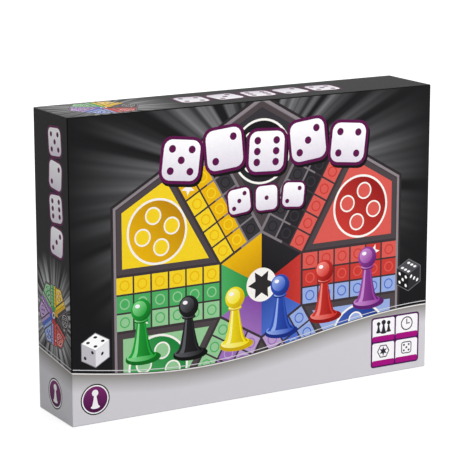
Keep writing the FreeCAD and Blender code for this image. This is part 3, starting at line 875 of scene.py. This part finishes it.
# urea resin dice: pressed and tumbled, opaque with a soft polish, lacquer in the dished pips
dieFinish = {"die_white": ("white urea resin", "#F1EEE6", "#E6E2D8", "#17171A"),
             "die_black": ("black urea resin", "#232326", "#151517", "#F1EFEA"),
             "pipDeep": 0.02, "pipField": 6.4, "roughness": (0.16, 0.3), "cloud": 4.0,
             "clouds": (0.35, 0.65)}


def urea(node):
    look, (name, pale, dark, pip) = dieFinish, dieFinish[node]
    low, high = spanOf(node)
    half, middle = (high[0] - low[0]) / 2, [(a + b) / 2 * mm for a, b in zip(low, high)]
    material, tree, shader, place = newMaterial(name, {"IOR": 1.55})
    local = addNode(tree, "ShaderNodeVectorMath", {1: middle}, {0: place}, operation="SUBTRACT")
    off = addNode(tree, "ShaderNodeVectorMath", None, {0: local.outputs["Vector"]}, operation="ABSOLUTE")
    axis = addNode(tree, "ShaderNodeSeparateXYZ", None, {"Vector": off.outputs["Vector"]})

    def ofThree(operation):  # the largest or smallest distance from the middle
        pair = addNode(tree, "ShaderNodeMath", None, {0: axis.outputs["X"], 1: axis.outputs["Y"]},
                       operation=operation)
        return addNode(tree, "ShaderNodeMath", None, {0: pair.outputs[0], 1: axis.outputs["Z"]},
                       operation=operation).outputs[0]
    most, least = ofThree("MAXIMUM"), ofThree("MINIMUM")
    total = addNode(tree, "ShaderNodeVectorMath", {1: (1.0, 1.0, 1.0)}, {0: off.outputs["Vector"]},
                    operation="DOT_PRODUCT")
    ends = addNode(tree, "ShaderNodeMath", None, {0: most, 1: least}, operation="ADD")
    second = addNode(tree, "ShaderNodeMath", None, {0: total.outputs["Value"], 1: ends.outputs[0]},
                     operation="SUBTRACT")
    # a pip lies below a face and away from the rounded edges
    sunk = addNode(tree, "ShaderNodeMath", {1: (half - look["pipDeep"]) * mm}, {0: most},
                   operation="LESS_THAN")
    inner = addNode(tree, "ShaderNodeMath", {1: look["pipField"] * mm}, {0: second.outputs[0]},
                    operation="LESS_THAN")
    lacquer = addNode(tree, "ShaderNodeMath", None, {0: sunk.outputs[0], 1: inner.outputs[0]},
                      operation="MULTIPLY")
    cloud = addNode(tree, "ShaderNodeTexNoise", {"Scale": 1 / (look["cloud"] * mm), "Detail": 3.0},
                    {"Vector": place})
    (start, stop), (smooth, dull) = look["clouds"], look["roughness"]
    body = addNode(tree, "ShaderNodeValToRGB", None, {"Fac": cloud.outputs["Fac"]},
                   [(start, hexInk(dark)), (stop, hexInk(pale))])
    colour = addNode(tree, "ShaderNodeMix", {7: hexInk(pip)},
                     {0: lacquer.outputs[0], 6: body.outputs["Color"]}, data_type="RGBA")
    rough = addNode(tree, "ShaderNodeMapRange", {"To Min": smooth, "To Max": dull},
                    {"Value": cloud.outputs["Fac"]})
    tree.links.new(colour.outputs[2], shader.inputs["Base Color"])
    tree.links.new(rough.outputs["Result"], shader.inputs["Roughness"])
    return material


def dress(material, *names):
    for name in names:
        frame["nodes"][name].material_slots[0].material = material


greyboard, chipboard, kraft, offsetPaper = (paperStock(name) for name in paperStocks)
liningPaper, bookCloth = (clothStock(name) for name in clothStocks)
dress(greyboard, "lid_tray", "base_tray", "board_front_core", "board_rear_core")
dress(kraft, "lid_corner_stays", "base_corner_stays")
dress(chipboard, "trough_card", "well_shelf", "board_platform")
dress(liningPaper, "board_front_backing", "board_rear_backing")
dress(offsetPaper, "rules_leaflet")
for player in tones:
    dress(mouldedPlastic(player), *["pawn_%s_%d" % (player, k) for k in (1, 2, 3, 4)])
for node in ("die_black", "die_white"):
    dress(urea(node), node)
print("inside pieces dressed")


# the playing side of the folding board, drawn round the middle of the fold
playLook = {"board": 148, "sheet": 200, "frames": (173, 171.4), "frameCorner": 8, "corner": 149, "tile": 25,
            "burst": 24, "field": "#1C1A1D", "line": "#8B8287", "pips": (1, 2, 3, 4)}


def playArt():
    look, art = playLook, []
    outer, inner = look["frames"]
    for half, ink in ((look["sheet"], look["field"]), (outer, look["line"]), (inner, look["field"])):
        art.append((roundTile((0, 0), 2 * half, 2 * half, look["frameCorner"]), ink))
    for pips, (su, sv) in zip(look["pips"], [(1, 1), (-1, 1), (-1, -1), (1, -1)]):
        badge = burstArt(look["burst"]) + tileArt(look["tile"], pips)
        art += placed(badge, (su * look["corner"], sv * look["corner"]), 45 * su * sv)
    return art + raceBoard(look["board"])


foldJoint = next(joint for joint in frame["joints"] if joint["name"] == "board_fold")
foldDepth, foldHeight = foldJoint["pos_m"][1] / mm, foldJoint["pos_m"][2] / mm


def boardPrint(name, node, way):  # a printed label on one half; way is 1 where the art runs up the box
    low, high = spanOf(node)
    face, back = (low[1], high[1]) if way > 0 else (high[1], low[1])
    edges = sorted(way * (z - foldHeight) for z in (low[2], high[2]))
    outline = [(low[0], edges[0]), (high[0], edges[0]), (high[0], edges[1]), (low[0], edges[1])]
    bm = bmesh.new()
    bm.loops.layers.float_color.new("ink")
    fillPanel(bm, outline, lambda u, v: (u, face, foldHeight + way * v), playArt(), 1)
    bmesh.ops.remove_doubles(bm, verts=bm.verts, dist=weldGap)
    made = bmesh.ops.extrude_edge_only(bm, edges=[edge for edge in bm.edges if edge.is_boundary])["geom"]
    for vert in made:
        if isinstance(vert, bmesh.types.BMVert):
            vert.co.y = back * mm
    rim = [edge for edge in made if isinstance(edge, bmesh.types.BMEdge) and edge.is_boundary]
    cut = [part for part in made if isinstance(part, bmesh.types.BMFace)]
    cut += bmesh.ops.edgeloop_fill(bm, edges=rim)["faces"]
    for part in cut:  # the cut edge and the glued side are bare paper
        part.material_index = 1
    piece = newPiece(name, bm, [printInk, offsetPaper])
    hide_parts(node)
    return piece


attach(boardPrint("boardRearPrint", "board_rear_print", 1), "board_rear")
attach(boardPrint("boardFrontPrint", "board_front_print", -1), "board_front")


# book cloth glued round the fold: it lies on the lining of both halves
spineLook = {"cloth": 0.2, "round": 0.8, "arcs": 5, "flat": 24, "turn": 0.4}


def spineStrip():
    low, high = spanOf("board_spine")
    r, arcs, flat = spineLook["round"], spineLook["arcs"], spineLook["flat"]

    def path(inset):  # up the rear half, over the fold and down the front half
        rear, front, top = high[1] - r, low[1] + r, high[2] - r
        turns = [math.pi / 2 * k / arcs for k in range(arcs + 1)]
        run = [(rear + (r - inset) * math.cos(a), top + (r - inset) * math.sin(a)) for a in turns]
        run += [(rear + (front - rear) * k / flat, high[2] - inset) for k in range(1, flat)]
        run += [(front - (r - inset) * math.sin(a), top + (r - inset) * math.cos(a)) for a in turns]
        return [(high[1] - inset, low[2])] + run + [(low[1] + inset, low[2])]
    bm = bmesh.new()
    ring = path(0.0) + path(spineLook["cloth"])[::-1]
    ends = [[bm.verts.new(Vector((x, y, z)) * mm) for y, z in ring] for x in (low[0], high[0])]
    count = len(ring)
    for k in range(count):
        n = (k + 1) % count
        bm.faces.new([ends[0][k], ends[0][n], ends[1][n], ends[1][k]]).smooth = True
    for k in range(count // 2 - 1):  # the cut ends, one short face after another
        for row in ends:
            bm.faces.new([row[k], row[k + 1], row[count - 2 - k], row[count - 1 - k]])
    return newPiece("boardSpine", bm, [bookCloth])


boardSpine = spineStrip()
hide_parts("board_spine")
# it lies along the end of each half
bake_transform(boardSpine)
print("folding board done")


# the photograph's camera, fitted to the corners of the box
cameraLook = {"lens": 154.0, "sensor": 36.0, "clip": 50.0, "azimuth": -30.14, "elevation": 12.93,
              "distance": 1839.0, "right": -0.98, "up": 5.8, "aim": (0.0, 0.0, 135.0)}


def addCamera():
    look = cameraLook
    a, e = math.radians(look["azimuth"]), math.radians(look["elevation"])
    back = Vector((math.sin(a) * math.cos(e), -math.cos(a) * math.cos(e), math.sin(e)))
    right = Vector((math.cos(a), math.sin(a), 0))
    up = back.cross(right)
    data = bpy.data.cameras.new("camera")
    data.lens, data.sensor_width, data.sensor_fit = look["lens"], look["sensor"], "HORIZONTAL"
    data.clip_end = look["clip"]
    camera = bpy.data.objects.new("camera", data)
    bpy.context.scene.collection.objects.link(camera)
    spot = Vector(look["aim"]) + right * look["right"] + up * look["up"] + back * look["distance"]
    camera.location = spot * mm
    camera.rotation_euler = back.to_track_quat("Z", "Y").to_euler()
    bpy.context.scene.camera = camera


addCamera()


# soft studio light: a white room, a large softbox in front and to the right, and a weaker one behind
lightLook = {"low": 0.32, "high": 0.84, "aim": (0.0, 0.0, 0.13), "white": (1.0, 1.0, 1.0, 1.0),
             "softbox": {"power": 49.5, "size": 1.9, "from": (1.2, -2.3, 0.95)},
             "fill": {"power": 26.0, "size": 1.6, "from": (0.0, 2.5, 1.1)}}


def addLamp(name):
    look = lightLook[name]
    data = bpy.data.lights.new(name, "AREA")
    data.energy, data.size = look["power"], look["size"]
    lamp = bpy.data.objects.new(name, data)
    bpy.context.scene.collection.objects.link(lamp)
    lamp.location = look["from"]
    lamp.rotation_euler = (lamp.location - Vector(lightLook["aim"])).to_track_quat("Z", "Y").to_euler()


def seenStraight(tree):  # 1 for the camera, and for what shows in a gloss or through a clear piece
    ray = addNode(tree, "ShaderNodeLightPath")
    seen = ray.outputs["Is Camera Ray"]
    for kind in ("Is Glossy Ray", "Is Transmission Ray"):
        either = addNode(tree, "ShaderNodeMath", None, {0: seen, 1: ray.outputs[kind]}, operation="MAXIMUM")
        seen = either.outputs[0]
    return seen


def addRoom():
    world = bpy.data.worlds.new("studio")
    bpy.context.scene.world = world
    world.use_nodes = True
    tree = world.node_tree
    room = tree.nodes["Background"]
    room.inputs["Color"].default_value = lightLook["white"]
    # the room is brighter overhead than at the walls
    place = addNode(tree, "ShaderNodeTexCoord")
    axis = addNode(tree, "ShaderNodeSeparateXYZ", None, {"Vector": place.outputs["Generated"]})
    height = addNode(tree, "ShaderNodeMapRange", {"To Min": lightLook["low"], "To Max": lightLook["high"]},
                     {"Value": axis.outputs["Z"]})
    tree.links.new(height.outputs["Result"], room.inputs["Strength"])
    white = addNode(tree, "ShaderNodeBackground", {"Color": lightLook["white"], "Strength": 1.0})
    mix = addNode(tree, "ShaderNodeMixShader", None,
                  {0: seenStraight(tree), 1: room.outputs[0], 2: white.outputs[0]})
    tree.links.new(mix.outputs[0], tree.nodes["World Output"].inputs["Surface"])


floorLook = {"radius": 6.0, "sides": 96, "drop": 0.0002, "lift": 0.68,
             "surface": {"Base Color": hexInk("#BEBEBE"), "Roughness": 0.9, "Specular IOR Level": 0.0}}


def addFloor():
    bm = bmesh.new()
    bmesh.ops.create_circle(bm, cap_ends=True, segments=floorLook["sides"], radius=floorLook["radius"])
    mesh = bpy.data.meshes.new("floor")
    bm.to_mesh(mesh)
    bm.free()
    floor = bpy.data.objects.new("floor", mesh)
    floor.location.z = -floorLook["drop"]
    bpy.context.scene.collection.objects.link(floor)
    material, tree, shader, _ = newMaterial("pale studio floor", floorLook["surface"])
    # seen straight, the floor is lifted to white, and the shadow stays
    lifted = addNode(tree, "ShaderNodeMath", {1: floorLook["lift"]}, {0: seenStraight(tree)},
                     operation="MULTIPLY")
    glow = addNode(tree, "ShaderNodeEmission", None, {"Strength": lifted.outputs[0]})
    both = addNode(tree, "ShaderNodeAddShader", None, {0: shader.outputs[0], 1: glow.outputs[0]})
    tree.links.new(both.outputs[0], tree.nodes["Material Output"].inputs["Surface"])
    mesh.materials.append(material)


addLamp("softbox")
addLamp("fill")
addRoom()
addFloor()
bpy.context.scene.view_settings.view_transform = "Standard"
print("camera, light and floor done")
